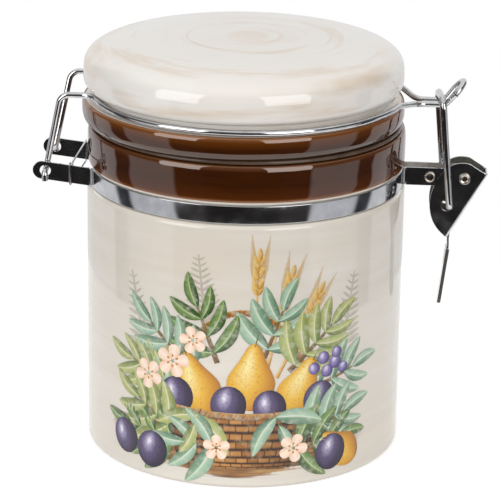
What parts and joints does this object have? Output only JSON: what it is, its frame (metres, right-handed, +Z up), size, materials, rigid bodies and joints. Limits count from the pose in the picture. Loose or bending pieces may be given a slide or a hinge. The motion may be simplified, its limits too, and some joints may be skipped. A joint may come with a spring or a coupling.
{
  "type": "dry goods canister",
  "caption": "Glazed ceramic clip-top canister with a domed lid on a rubber gasket, held by a steel strap, a bent lid wire and an over-centre bail latch.",
  "frame": {"origin": "centre of the flat base, on the jar's axis at the table", "axes": "+Z up the jar's axis, +X towards the latch lever, -X towards the lid's hinge, -Y is the decorated front"},
  "size_m": [0.1487, 0.1058, 0.1372],
  "materials": {
    "glaze": "gloss",
    "gasket": "satin",
    "steel": "polished"
  },
  "bodies": {
    "jar": {"jar_body": "glaze", "strap_front": "steel", "strap_back": "steel", "hinge_tie_wire": "steel", "ear_eyelet": "steel", "lever_pivot_rivet": "steel"},
    "lid": {"lid": "glaze", "lid_gasket": "gasket", "lid_wire": "steel"},
    "lever": {"latch_lever": "steel"},
    "bail": {"latch_bail": "steel"}
  },
  "joints": [
    {"name": "lid_hinge", "type": "hinge", "parent": "jar", "child": "lid", "pos_m": [-0.065, 0, 0.09397], "axis": [0, -1, 0], "range_deg": [0, 205]},
    {"name": "lever_pivot", "type": "hinge", "parent": "jar", "child": "lever", "pos_m": [0.072, 0, 0.09203], "axis": [0, -1, 0], "range_deg": [0, 96.4]},
    {"name": "bail_swing", "type": "hinge", "parent": "lid", "child": "bail", "pos_m": [0.0632, 0, 0.11905], "axis": [0, -1, 0], "range_deg": [0, 25.4]}
  ],
  "couplings": [
    {"joint": "bail_swing", "follows": "lever_pivot", "ratio": 0.2634}
  ]
}
